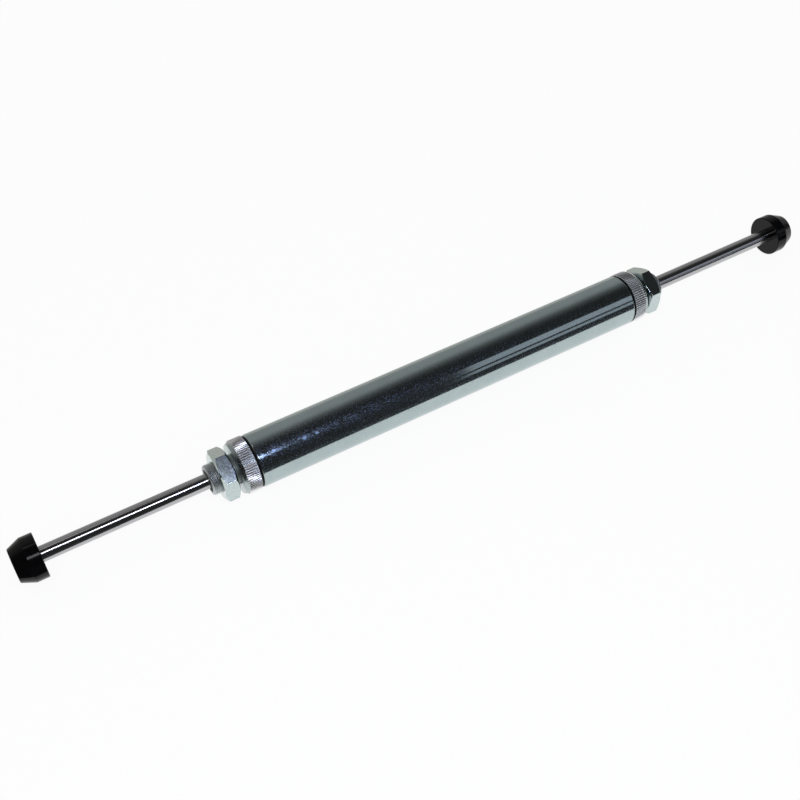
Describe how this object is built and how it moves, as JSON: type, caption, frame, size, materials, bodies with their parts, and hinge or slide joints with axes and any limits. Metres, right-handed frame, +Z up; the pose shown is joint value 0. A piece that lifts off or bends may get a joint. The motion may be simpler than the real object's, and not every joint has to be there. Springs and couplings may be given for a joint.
{
  "type": "industrial shock absorber",
  "caption": "Double-ended hydraulic shock absorber: sealed tube with knurled end caps, threaded stubs and lock nuts, and a through rod with a tapered rubber buffer on each end.",
  "frame": {"origin": "on the rod's axis, midway between the two tube ends", "axes": "X along the rod's axis, +X towards the end drawn on the right; +Z up through a corner of both lock nuts; flats of the nuts face +Y and -Y"},
  "size_m": [0.4668, 0.0284, 0.0284],
  "materials": {
    "zinc_tube": "bright zinc plate over drawn tube, nearly mirror bright, with fine length-wise drawing lines and light scuffs",
    "zinc_cap": "bright zinc plate over turned steel, straight knurl on the head",
    "zinc_nut": "bright zinc plate with a faint blue cast, slightly mottled flats",
    "gasket_rubber": "matte black",
    "seal_rubber": "satin black",
    "spring_steel": "dark phosphated",
    "bronze": "turned, satin",
    "hard_chrome": "ground and polished hard chrome",
    "machined_steel": "turned, satin",
    "ptfe": "smooth off-white",
    "buffer_rubber": "moulded black rubber, satin, slightly polished where handled",
    "brass_insert": "turned brass"
  },
  "bodies": {
    "housing": {"tube": "zinc_tube", "left_end_cap": "zinc_cap", "right_end_cap": "zinc_cap", "left_end_gasket": "gasket_rubber", "right_end_gasket": "gasket_rubber", "left_wiper": "seal_rubber", "right_wiper": "seal_rubber", "left_rod_seal": "seal_rubber", "right_rod_seal": "seal_rubber", "left_support_washer": "spring_steel", "right_support_washer": "spring_steel", "left_guide_bush": "bronze", "right_guide_bush": "bronze", "left_gland_circlip": "spring_steel", "right_gland_circlip": "spring_steel"},
    "ring": {"piston_ring": "ptfe"},
    "rod": {"piston_rod": "hard_chrome", "piston": "machined_steel", "piston_o_ring": "seal_rubber", "left_valve_disc": "spring_steel", "right_valve_disc": "spring_steel", "left_piston_circlip": "spring_steel", "right_piston_circlip": "spring_steel", "left_buffer": "buffer_rubber", "right_buffer": "buffer_rubber", "left_buffer_insert": "brass_insert", "right_buffer_insert": "brass_insert"},
    "left_nut": {"left_lock_nut": "zinc_nut"},
    "right_nut": {"right_lock_nut": "zinc_nut"}
  },
  "joints": [
    {"name": "rod_stroke", "type": "slide", "parent": "housing", "child": "ring", "axis": [1, 0, 0], "range_m": [-0.083, 0.083]},
    {"name": "rod_turn", "type": "hinge", "parent": "ring", "child": "rod", "pos_m": [0, 0, 0], "axis": [1, 0, 0], "continuous": true},
    {"name": "left_nut_travel", "type": "slide", "parent": "housing", "child": "left_nut", "axis": [1, 0, 0], "range_m": [-0.0043, 0.002]},
    {"name": "right_nut_travel", "type": "slide", "parent": "housing", "child": "right_nut", "axis": [1, 0, 0], "range_m": [-0.002, 0.0043]}
  ]
}
